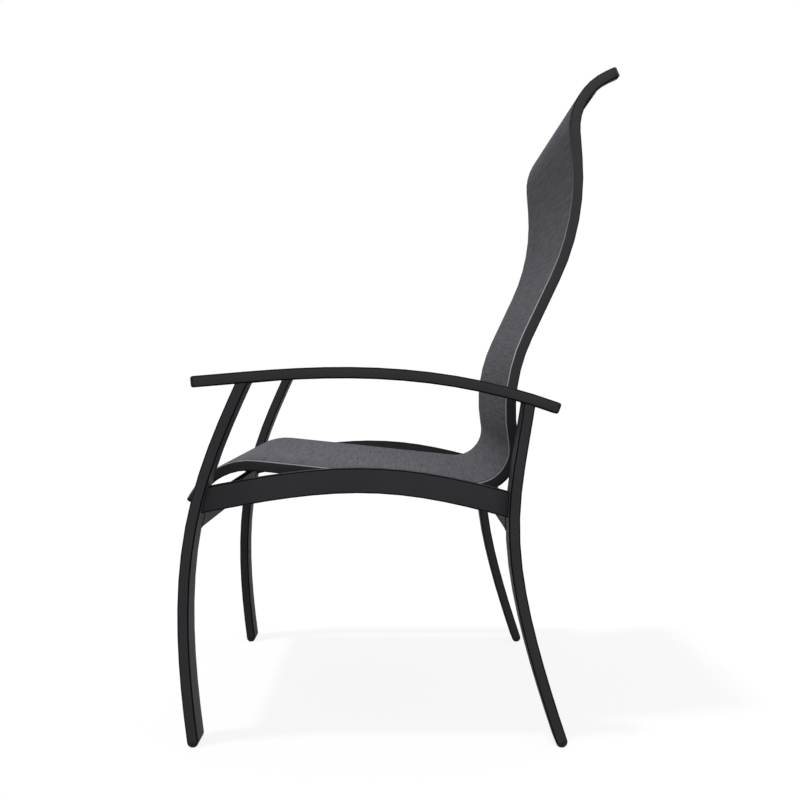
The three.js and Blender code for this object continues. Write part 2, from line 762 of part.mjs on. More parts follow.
/** The bars that hold the sling rails apart, with their plugs. */
function addSpreaders() {
  spreaders.forEach(({ name, centre, angle, wide, thick }) => {
    const spreader = new THREE.Group();
    spreader.position.copy(centre);
    spreader.rotation.y = angle;
    chair.add(spreader);
    addPiece(spreader, name, spreaderGeometry(wide, thick), powderCoat);
    [['left', -1], ['right', 1]].forEach(([where, side]) => {
      addPiece(spreader, `${name}_${where}_plug`, spreaderPlugGeometry(side, wide, thick), blackPlastic);
    });
  });
}

addSideFrame('left', -1);
addSideFrame('right', 1);
addCrossRail('front_cross_rail', frontLegLine, frontCrossShare * seatHeight, 1);
addCrossRail('rear_cross_rail', rearLegLine, rearCrossShare * seatHeight, -1);
addSlingSide('left', -1);
addSlingSide('right', 1);
addPiece(chair, 'sling_fabric', fabricGeometry(), wovenSling);
addSpreaders();

const reachBox = new THREE.Box3().setFromObject(chair);
chair.position.x = -(reachBox.min.x + reachBox.max.x) / 2;

export default chair;
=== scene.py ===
"""Sling patio chair with a high back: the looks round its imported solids.

Metres, +Z up. The chair faces -X and the camera looks along +Y at its left side.
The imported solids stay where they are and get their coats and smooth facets. Weld
beads close the joints of the frame, and the woven sling is built here as cut
cloth, with the tail in each groove and a stitched hem at each end.
"""

import sys
import logging
import math
from abc import ABC, abstractmethod
from bisect import bisect_left
from collections.abc import Iterable
from dataclasses import dataclass
from enum import Enum
from functools import cached_property
from itertools import accumulate

import bpy
import numpy as np
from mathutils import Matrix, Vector


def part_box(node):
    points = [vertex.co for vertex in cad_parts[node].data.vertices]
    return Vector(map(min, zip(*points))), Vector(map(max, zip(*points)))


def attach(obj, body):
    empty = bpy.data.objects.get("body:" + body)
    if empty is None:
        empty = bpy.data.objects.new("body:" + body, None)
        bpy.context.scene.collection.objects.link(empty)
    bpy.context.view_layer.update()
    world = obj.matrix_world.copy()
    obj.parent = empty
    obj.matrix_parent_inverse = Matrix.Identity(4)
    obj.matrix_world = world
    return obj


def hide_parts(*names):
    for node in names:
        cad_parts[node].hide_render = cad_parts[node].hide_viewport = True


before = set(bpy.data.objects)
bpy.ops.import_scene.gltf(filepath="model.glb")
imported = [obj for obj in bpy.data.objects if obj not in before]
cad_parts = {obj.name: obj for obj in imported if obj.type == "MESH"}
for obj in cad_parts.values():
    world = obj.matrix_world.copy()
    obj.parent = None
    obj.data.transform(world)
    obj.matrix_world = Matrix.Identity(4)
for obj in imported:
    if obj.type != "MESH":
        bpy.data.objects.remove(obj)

LOG = logging.getLogger("sling_chair")

ACROSS = Vector((0, 1, 0))
CUT_MAP = "cut_cloth"  # gives each corner of a cloth face its place on the cut cloth
MM_PER_METRE = 1000

Pair = tuple[float, float]
Triple = tuple[float, float, float]
Face = tuple[int, ...]
NodeRow = tuple[str | tuple | dict, ...]  # what add_node takes after the tree

PLACE_ROW: NodeRow = ("place", "TexCoord")
PLACE = "place.Object"
OF_COLOURS = {"data_type": "RGBA"}
OF_NUMBERS = {"data_type": "FLOAT"}


class Slot(Enum):
    """Material slots for the frame and the sling. No piece made here is given one."""

    FRAME = "frame_coat"
    SLING = "sling_weave"


class Side(Enum):
    """The two sides of the chair, with the sign of their place along Y."""

    LEFT = -1
    RIGHT = 1

    @property
    def word(self) -> str:
        """The side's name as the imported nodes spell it."""
        return self.name.lower()


class LegFace(Enum):
    """The broad faces of a leg, with the sign of their depth behind its centre line."""

    FRONT = -1
    REAR = 1


class End(Enum):
    """The two ends of the sling, with the step that counts its stations from each."""

    FRONT = 1
    HEAD = -1


def mm(length: float) -> float:
    """A length in metres from one in millimetres."""
    return length / MM_PER_METRE


def per_metre(pattern_mm: float) -> float:
    """The texture scale at which one cell of a pattern is this many millimetres."""
    return MM_PER_METRE / pattern_mm


def linear(code: str) -> tuple[float, float, float, float]:
    """Turns an sRGB colour to the linear one that a shader takes.

    Args:
        code: the colour as "#rrggbb".

    Returns:
        Linear red, green and blue, by the curve of the sRGB standard, and an alpha of 1.
    """
    shares = [int(code[i : i + 2], 16) / 255 for i in (1, 3, 5)]
    curve = [s / 12.92 if s <= 0.04045 else ((s + 0.055) / 1.055) ** 2.4 for s in shares]
    return (curve[0], curve[1], curve[2], 1.0)


def pick(sockets: Iterable[bpy.types.NodeSocket], key: str | int) -> bpy.types.NodeSocket:
    """The socket with this name, or at this place, among those in use."""
    in_use = [socket for socket in sockets if socket.enabled]
    return in_use[key] if isinstance(key, int) else next(s for s in in_use if s.name == key)


def add_node(
    tree: bpy.types.NodeTree,
    name: str,
    kind: str,
    inputs: tuple | dict[str, object] = (),
    settings: dict[str, str] | None = None,
) -> None:
    """Adds a named node to a tree with its settings and links.

    Args:
        tree: the node tree.
        name: the node's name, by which later nodes link to it.
        kind: its type name, of which shader nodes leave out the start.
        inputs: what the inputs get, from the first one on or by name. A text names an
            earlier node, and after a dot the output where that isn't its first.
        settings: properties of the node, by name.
    """
    node = tree.nodes.new(kind if "Node" in kind else f"ShaderNode{kind}")
    node.name = name
    for key, value in (settings or {}).items():
        setattr(node, key, value)
    for key, value in inputs.items() if isinstance(inputs, dict) else enumerate(inputs):
        if isinstance(value, str):
            source, _, output = value.partition(".")
            tree.links.new(pick(tree.nodes[source].outputs, output or 0), pick(node.inputs, key))
        else:
            pick(node.inputs, key).default_value = value


def fill_tree(tree: bpy.types.NodeTree, rows: Iterable[NodeRow]) -> None:
    """Empties a tree and adds new nodes to it.

    Args:
        tree: the node tree.
        rows: the nodes, each after those that it links to.
    """
    tree.nodes.clear()
    for row in rows:
        add_node(tree, *row)


@dataclass(frozen=True)
class Finish(ABC):
    """What a piece is finished with. Each kind of finish gives its own nodes."""

    name: str

    @abstractmethod
    def nodes(self) -> list[NodeRow]:
        """The rows of the finish's nodes. The one named "shader" is seen."""

    def material(self) -> bpy.types.Material:
        """The material, made once and shared by all pieces of the finish.

        Returns:
            The node material.
        """
        made = bpy.data.materials.get(self.name)
        if made is None:
            made = bpy.data.materials.new(self.name)
            made.use_nodes = True
            fill_tree(made.node_tree, [*self.nodes(), ("end", "OutputMaterial", ("shader",))])
        return made


@dataclass(frozen=True)
class PowderCoat(Finish):
    """Polyester powder baked on aluminium.

    The powder melts into a satin skin with a fine orange peel, so highlights are
    broad and a little broken. Its rounded corners are coloured darker than the
    flats, a painted shade for the dark reflection along tube edges. On the rail
    coat, corners that face up and forward, low down, are coloured pale instead,
    a painted highlight along the lip.
    """

    colour: str
    tint: str
    # painted shade: the colour of rounded corners, dark for the dark reflection along tube edges
    edge_shade_colour: str = "#070708"
    # painted highlight: the colour of corners that face up and forward, low down
    edge_highlight_colour: str = "#070708"
    roughness: Pair = (0.55, 0.65)  # in the lows and on the highs of the peel
    specular: float = 0.04
    ior: float = 1.5
    peel_mm: float = 2.2  # the real peel is about 1.2 mm, too fine to show
    peel_depth_mm: float = 0.035
    peel_octaves: float = 2
    peel_levels: Pair = (0.3, 0.7)
    drift_mm: float = 60  # slow changes in coat thickness
    drift_octaves: float = 3
    corner_turn: Pair = (0.01, 0.13)  # how far a corner has turned off its flats
    halfway_turn: float = 0.5  # a corner's middle, where its turn squared is a half
    # the side that the painted highlight faces, up and forward
    highlight_side: Triple = (-0.75, 0, 0.66)
    rub_turn: Pair = (-0.3, 0.3)  # how far a corner faces the painted highlight's side
    highlight_height: Pair = (1.06, 0.66)  # metres up, from no painted highlight to all of it

    def nodes(self) -> list[NodeRow]:
        """The coat's flats, its corners in painted shade and painted highlight, with its orange
        peel.

        Returns:
            The rows.
        """
        multiply, dot = {"operation": "MULTIPLY"}, {"operation": "DOT_PRODUCT"}
        painted_edge_tones = (linear(self.edge_shade_colour), linear(self.edge_highlight_colour))
        return [
            PLACE_ROW,
            ("drift", "TexNoise", (PLACE, per_metre(self.drift_mm), self.drift_octaves)),
            ("flat", "Mix", ("drift", linear(self.colour), linear(self.tint)), OF_COLOURS),
            ("surface", "NewGeometry"),
            ("turned", "VectorMath", ("surface.Normal", tuple(ACROSS)), dot),
            ("squared", "Math", ("turned", "turned"), multiply),
            ("folded", "Math", ("squared", self.halfway_turn), {"operation": "PINGPONG"}),
            ("corner", "MapRange", ("folded", *self.corner_turn)),
            # painted highlight: corners facing up and forward, low down, take the pale colour;
            # other corners take the painted shade
            ("exposed", "VectorMath", ("surface.Normal", self.highlight_side), dot),
            ("rubbed", "MapRange", ("exposed", *self.rub_turn)),
            ("spot", "SeparateXYZ", (PLACE,)),
            ("reached", "MapRange", ("spot.Z", *self.highlight_height)),
            ("worn", "Math", ("rubbed", "reached"), multiply),
            ("edge", "Mix", ("worn", *painted_edge_tones), OF_COLOURS),
            ("coat", "Mix", ("corner", "flat", "edge"), OF_COLOURS),
            ("peel", "TexNoise", (PLACE, per_metre(self.peel_mm), self.peel_octaves)),
            ("rough", "MapRange", ("peel", *self.peel_levels, *self.roughness)),
            ("bump", "Bump", {"Height": "peel", "Distance": mm(self.peel_depth_mm)}),
            ("shader", "BsdfPrincipled", {
                "Base Color": "coat",
                "Roughness": "rough",
                "IOR": self.ior,
                "Specular IOR Level": self.specular,
                "Normal": "bump",
            }),
        ]


@dataclass(frozen=True)
class MouldedNylon(Finish):
    """Glass-filled nylon, injection moulded in a spark-eroded tool.

    The tool leaves an even matt grain, so the caps and feet look drier and a
    little blacker than the coated tube beside them.
    """

    colour: str
    scuff: str
    roughness: Pair = (0.55, 0.69)
    specular: float = 0.09
    ior: float = 1.53
    grain_mm: float = 1.0  # the real grain is about 0.2 mm, too fine to show
    grain_depth_mm: float = 0.03
    grain_strength: float = 0.8
    scuff_mm: float = 9
    scuff_octaves: float = 4
    scuff_levels: Pair = (0.52, 0.72)

    def nodes(self) -> list[NodeRow]:
        """The nylon's grain, and scuffs in a paler tone.

        Returns:
            The rows.
        """
        return [
            PLACE_ROW,
            ("grain", "TexVoronoi", {"Vector": PLACE, "Scale": per_metre(self.grain_mm)}),
            ("scuffs", "TexNoise", (PLACE, per_metre(self.scuff_mm), self.scuff_octaves)),
            ("worn", "MapRange", ("scuffs", *self.scuff_levels)),
            ("skin", "Mix", ("worn", linear(self.colour), linear(self.scuff)), OF_COLOURS),
            ("rough", "MapRange", ("scuffs", 0.0, 1.0, *self.roughness)),
            ("bump", "Bump", {
                "Height": "grain",
                "Distance": mm(self.grain_depth_mm),
                "Strength": self.grain_strength,
            }),
            ("shader", "BsdfPrincipled", {
                "Base Color": "skin",
                "Roughness": "rough",
                "IOR": self.ior,
                "Specular IOR Level": self.specular,
                "Normal": "bump",
            }),
        ]


@dataclass(frozen=True)
class BlackOxideSteel(Finish):
    """Machine-screw steel, turned and then dipped in a black oxide bath.

    The oxide is a dark skin on bare metal, thinner where the tool left a burr, so
    the head has fine specks of a slightly paler grey.
    """

    name: str = "black_oxide_steel"
    colour: str = "#39393c"
    speck: str = "#56565a"
    roughness: float = 0.42
    speck_mm: float = 0.8  # the real specks are about 0.2 mm, too fine to show
    speck_depth_mm: float = 0.02
    speck_strength: float = 0.6
    speck_octaves: float = 1

    def nodes(self) -> list[NodeRow]:
        """The oxide and its specks, on metal.

        Returns:
            The rows.
        """
        return [
            PLACE_ROW,
            ("specks", "TexNoise", (PLACE, per_metre(self.speck_mm), self.speck_octaves)),
            ("skin", "Mix", ("specks", linear(self.colour), linear(self.speck)), OF_COLOURS),
            ("bump", "Bump", {
                "Height": "specks",
                "Distance": mm(self.speck_depth_mm),
                "Strength": self.speck_strength,
            }),
            ("shader", "BsdfPrincipled", {
                "Base Color": "skin",
                "Metallic": 1.0,
                "Roughness": self.roughness,
                "Normal": "bump",
            }),
        ]


@dataclass(frozen=True)
class ExtrudedVinyl(Finish):
    """Soft vinyl rod, drawn through a die.

    The die leaves a low, waxy sheen, and with age a bloom comes out of the vinyl
    in soft clouds.
    """

    name: str = "extruded_vinyl"
    colour: str = "#26262a"
    bloom: str = "#333338"
    roughness: float = 0.48
    ior: float = 1.53
    bloom_mm: float = 5
    bloom_octaves: float = 3

    def nodes(self) -> list[NodeRow]:
        """The vinyl and its bloom.

        Returns:
            The rows.
        """
        look = {"Base Color": "skin", "Roughness": self.roughness, "IOR": self.ior}
        return [
            PLACE_ROW,
            ("bloom", "TexNoise", (PLACE, per_metre(self.bloom_mm), self.bloom_octaves)),
            ("skin", "Mix", ("bloom", linear(self.colour), linear(self.bloom)), OF_COLOURS),
            ("shader", "BsdfPrincipled", look),
        ]


@dataclass(frozen=True)
class CoatedYarnWeave(Finish):
    """Plain weave of polyester yarn with a vinyl jacket.

    Each yarn is a round jacketed thread, so the cloth has a low sheen, pits where
    yarns cross, coloured dark as painted shade, and slubs, short runs of a yarn in a
    paler or darker tone, that cross-hatch the cloth. The map of the cut cloth runs
    along the warp in x and across it in y, in metres.
    """

    name: str = "coated_yarn_weave"
    dark: str = "#3d3c41"
    light: str = "#6a6971"
    pit: str = "#1d1d20"
    roughness: float = 0.75
    specular: float = 0.08
    ior: float = 1.5
    yarn_mm: float = 1.8  # the real yarns are about 1.1 mm apart, too fine to show
    yarn_height_mm: float = 0.2
    yarn_strength: float = 0.7
    pit_levels: Pair = (0.05, 0.4)
    weft_slub_mm: Pair = (3.9, 95)  # across the yarn and along it
    warp_slub_mm: Pair = (2.6, 40)
    slub_octaves: float = 2
    slub_levels: Pair = (0.27, 0.73)
    weft_weights: Pair = (0.5, 0.9)  # the weft's share of the tone, under and over
    cloud_mm: float = 9
    cloud_octaves: float = 5
    cloud_share: float = 0.25

    def yarn_sums(self) -> list[tuple[str | float, ...]]:
        """The sums that raise each yarn where it crosses over the other.

        Returns:
            For each sum its name, its operation and its terms, by name or number.
        """
        sums: list[tuple[str | float, ...]] = []
        for yarn, other, axis in (("weft", "warp", "X"), ("warp", "weft", "Y")):
            sums += [
                (f"{yarn}_place", "DIVIDE", f"spot.{axis}", mm(self.yarn_mm)),
                (f"{yarn}_number", "FLOOR", f"{yarn}_place"),
                (f"{yarn}_part", "FRACT", f"{yarn}_place"),
                (f"{yarn}_turn", "MULTIPLY", f"{yarn}_part", math.pi),
                (f"{yarn}_round", "SINE", f"{yarn}_turn"),
                (f"{other}_rise", "MULTIPLY_ADD", f"{yarn}_round", 0.5, 0.5),
            ]
        under, over = self.weft_weights
        return sums + [
            ("crossings", "ADD", "weft_number", "warp_number"),
            ("weft_up", "PINGPONG", "crossings", 1.0),
            ("weft_crown", "MULTIPLY", "weft_round", "weft_rise"),
            ("warp_crown", "MULTIPLY", "warp_round", "warp_rise"),
            ("weft_share", "MULTIPLY_ADD", "weft_up", over - under, under),
        ]

    def slubs(self) -> list[NodeRow]:
        """The tones of both yarns' slubs, as streaks along the yarns.

        Returns:
            The rows.
        """
        rows: list[NodeRow] = []
        for yarn, size_mm in (("weft", self.weft_slub_mm), ("warp", self.warp_slub_mm[::-1])):
            scale = (*map(per_metre, size_mm), 1.0)
            streaks = (f"{yarn}_run", 1.0, self.slub_octaves)
            rows += [
                (f"{yarn}_run", "VectorMath", ("cut", scale), {"operation": "MULTIPLY"}),
                (f"{yarn}_tone", "TexNoise", streaks, {"noise_dimensions": "2D"}),
            ]
        return rows

    def nodes(self) -> list[NodeRow]:
        """The yarns over and under each other, with their slubs.

        Returns:
            The rows.
        """
        sums = [
            (name, "Math", tuple(terms), {"operation": operation})
            for name, operation, *terms in self.yarn_sums()
        ]
        return [
            PLACE_ROW,
            ("cut", "UVMap", (), {"uv_map": CUT_MAP}),
            ("spot", "SeparateXYZ", ("cut",)),
            *self.slubs(),
            *sums,
            ("height", "Mix", ("weft_up", "warp_crown", "weft_crown"), OF_NUMBERS),
            ("tone", "Mix", ("weft_share", "warp_tone", "weft_tone"), OF_NUMBERS),
            ("cloud", "TexNoise", (PLACE, per_metre(self.cloud_mm), self.cloud_octaves)),
            ("clouded", "Mix", (self.cloud_share, "tone", "cloud"), OF_NUMBERS),
            ("mottled", "MapRange", ("clouded", *self.slub_levels)),
            ("yarn", "Mix", ("mottled", linear(self.dark), linear(self.light)), OF_COLOURS),
            # painted shade: the low places where yarns cross are coloured near black
            ("out_of_pit", "MapRange", ("height", *self.pit_levels)),
            ("cloth", "Mix", ("out_of_pit", linear(self.pit), "yarn"), OF_COLOURS),
            ("bump", "Bump", {
                "Height": "height",
                "Distance": mm(self.yarn_height_mm),
                "Strength": self.yarn_strength,
            }),
            ("shader", "BsdfPrincipled", {
                "Base Color": "cloth",
                "Roughness": self.roughness,
                "IOR": self.ior,
                "Specular IOR Level": self.specular,
                "Normal": "bump",
            }),
        ]


@dataclass(frozen=True)
class SewingThread(Finish):
    """Bonded polyester thread of two plies.

    The twist shows as slanted light and dark flecks along each stitch, a painted highlight and
    painted shade on the twist's ridges.
    """

    name: str = "bonded_thread"
    colour: str = "#3c3c40"
    twist_highlight: str = "#66656b"
    roughness: float = 0.55
    ior: float = 1.5
    twist_mm: float = 1.4  # the real twist is about 0.7 mm, too fine to show
    wave_turn: float = 10  # radians that a diagonal wave texture turns in one unit

    def nodes(self) -> list[NodeRow]:
        """The thread's twist, in painted highlight and painted shade.

        Returns:
            The rows.
        """
        scale = per_metre(self.twist_mm) * math.tau / self.wave_turn
        look = {"Base Color": "ply", "Roughness": self.roughness, "IOR": self.ior}
        return [
            PLACE_ROW,
            ("twist", "TexWave", (PLACE, scale), {"bands_direction": "DIAGONAL"}),
            # painted highlight and painted shade along the twist
            ("ply", "Mix", ("twist.Fac", linear(self.colour), linear(self.twist_highlight)), OF_COLOURS),
            ("shader", "BsdfPrincipled", look),
        ]


def seen_directly() -> list[NodeRow]:
    """The rows of "seen", which is 1 for what the eye sees, also by gloss or glass.

    Returns:
        The rows.
    """
    either = {"operation": "MAXIMUM"}
    return [
        ("path", "LightPath"),
        ("bare", "Math", ("path.Is Camera Ray", "path.Is Glossy Ray"), either),
        ("seen", "Math", ("bare", "path.Is Transmission Ray"), either),
    ]


@dataclass(frozen=True)
class StudioPaper(Finish):
    """Seamless paper, rolled out under the chair.

    To the eye it glows white with the chair's faint shadow on it. To the chair it
    is a grey floor, which throws back some of the light.
    """

    name: str = "studio_floor"
    colour: str = "#8c8c8c"
    glow: float = 0.882
    lit_share: float = 0.142

    def nodes(self) -> list[NodeRow]:
        """The paper as the eye and as the chair sees it.

        Returns:
            The rows.
        """
        faint = (self.lit_share, self.lit_share, self.lit_share, 1.0)
        return [
            *seen_directly(),
            ("lit", "BsdfDiffuse", (linear(self.colour),)),
            ("faint", "BsdfDiffuse", (faint,)),
            ("glow", "Emission", {"Strength": self.glow}),
            ("white", "AddShader", ("faint", "glow")),
            ("shader", "MixShader", ("seen", "lit", "white")),
        ]


FRAME_COAT = PowderCoat("satin_black_powder_coat", "#39393c", "#404043")
# the rail coat's pale corner colour is a painted highlight along the sling rail's lip
RAIL_COAT = PowderCoat("satin_black_rail_coat", "#3d3d40", "#434346", edge_highlight_colour="#b4b3b8")
CAP_NYLON = MouldedNylon("moulded_cap_nylon", "#29292c", "#353538")
FOOT_NYLON = MouldedNylon("moulded_foot_nylon", "#28282b", "#38383b", roughness=(0.48, 0.62))
OXIDE_STEEL = BlackOxideSteel()
VINYL_ROD = ExtrudedVinyl()
SLING_CLOTH = CoatedYarnWeave()
HEM_THREAD = SewingThread()
FLOOR_PAPER = StudioPaper()


def put_in_scene(data: bpy.types.Mesh | bpy.types.Light | bpy.types.Camera) -> bpy.types.Object:
    """Makes an object under the name of its data.

    Args:
        data: the object's mesh, lamp or camera.

    Returns:
        The object, linked to the scene.
    """
    made = bpy.data.objects.new(data.name, data)
    bpy.context.scene.collection.objects.link(made)
    return made


def new_piece(
    name: str,
    points: list[Vector],
    faces: list[Face],
    finish: Finish,
    cut_places: list[Pair] | None = None,
) -> bpy.types.Object:
    """Makes a piece of the chair that rides on the frame.

    Args:
        name: the piece's name.
        points: its vertices, in the chair's frame.
        faces: vertex numbers of each face.
        finish: what it is finished with.
        cut_places: along and across the cut cloth, for each vertex of a cloth.

    Returns:
        The new object.
    """
    mesh = bpy.data.meshes.new(name)
    mesh.from_pydata([tuple(p) for p in points], [], faces)
    mesh.update()
    mesh.materials.append(finish.material())
    mesh.shade_smooth()
    if cut_places:
        cut_map = mesh.uv_layers.new(name=CUT_MAP)
        for loop in mesh.loops:
            cut_map.data[loop.index].uv = cut_places[loop.vertex_index]
    piece = put_in_scene(mesh)
    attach(piece, "root")
    LOG.info("made %s of %d faces, with %s", name, len(faces), finish.name)
    return piece


@dataclass(frozen=True)
class FacetSmoother:
    """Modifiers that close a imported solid's seams and round its shading."""

    name: str = "round_shading"
    seam_mm: float = 0.01
    sharp_degrees: float = 50
    flat_weight: int = 80

    def tree(self) -> bpy.types.NodeTree:
        """The node group that merges seams and marks what stays sharp.

        Returns:
            The group, made once.
        """
        group = bpy.data.node_groups.get(self.name)
        if group is not None:
            return group
        group = bpy.data.node_groups.new(self.name, "GeometryNodeTree")
        for way in ("INPUT", "OUTPUT"):
            group.interface.new_socket("Geometry", in_out=way, socket_type="NodeSocketGeometry")
        seam = {"Geometry": "start", "Distance": mm(self.seam_mm)}
        shade = "GeometryNodeSetShadeSmooth"
        less = {"data_type": "FLOAT", "operation": "LESS_THAN"}
        fill_tree(group, [
            ("start", "NodeGroupInput"),
            ("merged", "GeometryNodeMergeByDistance", seam),
            ("faces", shade, {"Geometry": "merged", "Shade Smooth": True}, {"domain": "FACE"}),
            ("angle", "GeometryNodeInputMeshEdgeAngle"),
            ("soft", "FunctionNodeCompare", ("angle", math.radians(self.sharp_degrees)), less),
            ("edges", shade, {"Geometry": "faces", "Shade Smooth": "soft"}, {"domain": "EDGE"}),
            ("end", "NodeGroupOutput", ("edges",)),
        ])
        return group

    def apply(self, piece: bpy.types.Object) -> None:
        """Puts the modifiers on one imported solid.

        Args:
            piece: the solid.
        """
        shading = piece.modifiers.new(self.name, "NODES")
        shading.node_group = self.tree()
        weighted = piece.modifiers.new("level_flats", "WEIGHTED_NORMAL")
        weighted.keep_sharp = True
        weighted.weight = self.flat_weight


SMOOTHER = FacetSmoother()


def dress(node: str, finish: Finish) -> None:
    """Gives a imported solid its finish; its shape stays as packed.

    Args:
        node: the solid's name.
        finish: what it is finished with.
    """
    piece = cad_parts[node]
    for slot in piece.material_slots:
        slot.material = finish.material()
    SMOOTHER.apply(piece)
    LOG.info("dressed %s with %s", node, finish.name)


def ring_faces(rings: int, around: int, closed_path: bool = False) -> list[Face]:
    """The faces of a tube made of equal rings, one after the other.

    Args:
        rings: how many rings there are.
        around: how many points each ring has.
        closed_path: whether the last ring joins the first.

    Returns:
        The side faces, and two end faces where the path is open.
    """
    faces: list[Face] = []
    for i in range(rings if closed_path else rings - 1):
        a, b = i * around, (i + 1) % rings * around
        for j in range(around):
            k = (j + 1) % around
            faces.append((a + j, a + k, b + k, b + j))
    if not closed_path:
        last = (rings - 1) * around
        faces.append(tuple(reversed(range(around))))
        faces.append(tuple(range(last, last + around)))
    return faces


def ways(points: list[Vector]) -> list[float]:
    """The way gone along a line at each of its points."""
    return [0.0, *accumulate((b - a).length for a, b in zip(points, points[1:]))]


def arc(centre: Pair, radius: float, degrees: Pair, steps: int) -> list[Pair]:
    """Points along an arc, both its ends included.

    Args:
        centre: the arc's centre.
        radius: its radius.
        degrees: where it starts and where it ends.
        steps: how many stretches it is cut into.

    Returns:
        The points, from the start to the end.
    """
    start, end = degrees
    turns = [math.radians(start + (end - start) * i / steps) for i in range(steps + 1)]
    return [(centre[0] + radius * math.cos(t), centre[1] + radius * math.sin(t)) for t in turns]


def circle(radius: float, sides: int) -> list[Pair]:
    """The corners of a regular polygon round the origin."""
    return arc((0, 0), radius, (0, 360), sides)[:-1]


def rounded_outline(size: Pair, corner: float, step: float, corner_steps: int = 4) -> list[Pair]:
    """Points round a rectangle with rounded corners, a step or less apart.

    Args:
        size: its width and its height, in metres.
        corner: the corners' radius, in metres.
        step: the most distance between points, in metres.
        corner_steps: the least number of stretches round each corner.

    Returns:
        The points, anticlockwise.
    """
    x, y = size[0] / 2 - corner, size[1] / 2 - corner
    points: list[Pair] = []
    for number, centre in enumerate(((x, y), (-x, y), (-x, -y), (x, -y))):
        points += arc(centre, corner, (90 * number, 90 * (number + 1)), corner_steps)
    filled: list[Pair] = []
    for (ax, ay), (bx, by) in zip(points, points[1:] + points[:1]):
        count = max(1, math.ceil(math.hypot(bx - ax, by - ay) / step))
        filled += [(ax + (bx - ax) * i / count, ay + (by - ay) * i / count) for i in range(count)]
    return filled


def crossing(one: list[Vector], other: list[Vector]) -> Vector:
    """Where two lines in the plane of the side frames cross.

    Args:
        one: the first line's points.
        other: the second line's points.

    Returns:
        The point where the two closest stretches of the lines meet.
    """
    gaps = np.linalg.norm(np.array(one)[:, None] - np.array(other)[None], axis=2)
    i, j = np.unravel_index(gaps.argmin(), gaps.shape)
    i, j = min(max(int(i), 1), len(one) - 2), min(max(int(j), 1), len(other) - 2)
    along, across = one[i + 1] - one[i - 1], other[j + 1] - other[j - 1]
    between = other[j - 1] - one[i - 1]
    turn = along.x * across.z - along.z * across.x
    return one[i - 1] + along * ((between.x * across.z - between.z * across.x) / turn)


@dataclass(frozen=True)
class Station:
    """A place on a line in the plane of the side frames, and its heading."""

    point: Vector
    heading: Vector

    @property
    def behind(self) -> Vector:
        """The direction to the right of the heading: from the sling's face to its back."""
        return Vector((self.heading.z, 0, -self.heading.x))

    def at(self, across: float, depth: float) -> Vector:
        """The point this far along Y and this far behind."""
        return self.point + ACROSS * across + self.behind * depth


@dataclass(frozen=True)
class ChairSizes:
    """The sizes that several sub-assemblies share, in millimetres."""

    overall_width: float = 675
    overall_height: float = 1128.5
    arm_height: float = 627
    seat_height: float = 468.5
    foot_spread: float = 608
    front_foot_x: float = -343.11
    foot_centre: float = 8.9
    tube_wide: float = 50.8
    tube_thick: float = 19
    tube_corner: float = 3
    side_rail_tall: float = 42
    side_rail_thick: float = 19
    cross_rail_tall: float = 44.5
    cross_rail_thick: float = 12.7
    stock_corner: float = 2.5
    front_cross_share: float = 0.808  # of the seat height
    rear_cross_share: float = 0.797
    sling_side_gap: float = 7.8
    rail_wide: float = 18
    seat_gap: float = 0.3

    @property
    def rail_outer(self) -> float:
        """The outer face of a sling rail, along Y, in metres."""
        return mm(self.overall_width / 2 - self.tube_wide - self.sling_side_gap)

    def place(self, share: Pair, height: float, base: float = 0) -> Vector:
        """A point in the plane of the side frames, from its shares of two sizes.

        Args:
            share: the shares of the foot spread and of the height.
            height: the height that the second share is of, in millimetres.
            base: what lies below that height, in millimetres.

        Returns:
            The point, in metres.
        """
        x = self.front_foot_x + share[0] * self.foot_spread
        return Vector((mm(x), 0, mm(base + share[1] * height)))


SIZES = ChairSizes()
ARM_HEIGHTS = (SIZES.arm_height,) * 4
SEAT_HEIGHTS = (SIZES.seat_height,) * 4
LEG_HEIGHTS = (*SEAT_HEIGHTS[:3], SIZES.arm_height)


@dataclass(frozen=True)
class TubeLine:
    """The cubic centre line of one bent tube."""

    shares: tuple[Pair, ...]  # its control points, as shares of the foot spread and a height
    heights: tuple[float, ...]  # what each second share is of, in millimetres
    first_rise: float = 0  # how far the first point is raised, in millimetres
    samples: int = 240
    halvings: int = 40  # of the range of shares in which at_height looks

    @cached_property
    def controls(self) -> list[Vector]:
        """The four control points, in metres.

        Returns:
            The points.
        """
        points = [SIZES.place(share, height) for share, height in zip(self.shares, self.heights)]
        points[0].z += mm(self.first_rise)
        return points

    def station(self, t: float) -> Station:
        """The place and heading at one share of the cubic.

        Args:
            t: the share, from 0 to 1.

        Returns:
            The station there.
        """
        a, b, c, d = self.controls
        u = 1 - t
        point = a * u**3 + b * 3 * u * u * t + c * 3 * u * t * t + d * t**3
        heading = (b - a) * 3 * u * u + (c - b) * 6 * u * t + (d - c) * 3 * t * t
        return Station(point, heading.normalized())

    def edge(self, depth: float) -> list[Vector]:
        """Points, close together, of the line this far behind the centre line."""
        shares = [i / self.samples for i in range(self.samples + 1)]
        return [self.station(t).at(0, depth) for t in shares]

    def at_height(self, height: float) -> Station:
        """The station at one height above the floor, on a line that only rises.

        Args:
            height: the height, in metres.

        Returns:
            The station there.
        """
        low, high = 0.0, 1.0
        for _ in range(self.halvings):
            middle = (low + high) / 2
            if self.station(middle).point.z < height:
                low = middle
            else:
                high = middle
        return self.station(low)


